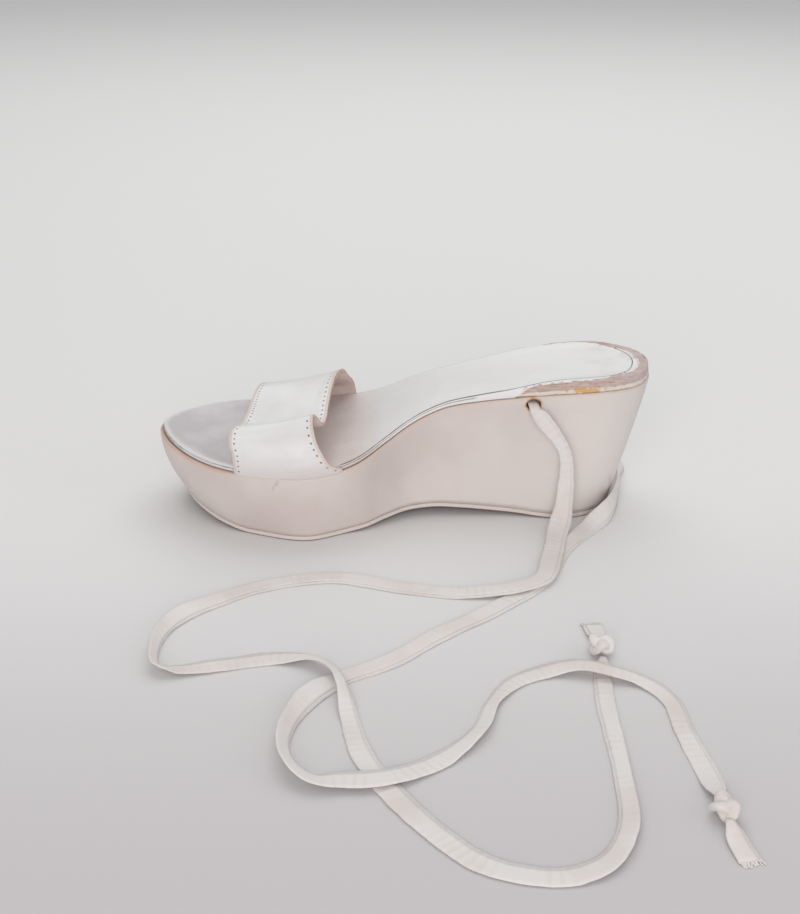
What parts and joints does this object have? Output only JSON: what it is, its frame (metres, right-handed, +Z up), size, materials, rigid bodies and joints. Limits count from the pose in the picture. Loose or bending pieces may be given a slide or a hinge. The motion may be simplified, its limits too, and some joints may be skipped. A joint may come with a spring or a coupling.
{
  "type": "platform sandal",
  "caption": "Left platform sandal with a leather-covered platform rising to the heel, a folded vamp strap, a covered insole and a cotton tape ankle tie lying loose",
  "frame": {"origin": "under the middle of the shoe's box, without the tie, on the floor it stands on", "axes": "+X towards the heel, +Y towards the inner side of the foot, +Z up"},
  "size_m": [0.234, 0.3402, 0.0705],
  "materials": {
    "outsole": "worn dark rubber sheet",
    "platform": "smooth greyish pink leather",
    "insole_board": "brown fibreboard, bared at the heel's edge",
    "insole_cover": "smooth off-white leather",
    "vamp_strap": "smooth off-white leather with a brown lining",
    "tape": "matt woven cotton"
  },
  "bodies": {
    "root": {"outsole": "outsole", "platform": "platform", "insole_board": "insole_board", "insole_cover": "insole_cover", "vamp_strap": "vamp_strap", "tie_lateral": "tape", "tie_medial": "tape", "tie_lateral_knot": "tape", "tie_medial_knot": "tape", "tie_lateral_tip": "tape", "tie_medial_tip": "tape"}
  },
  "joints": []
}
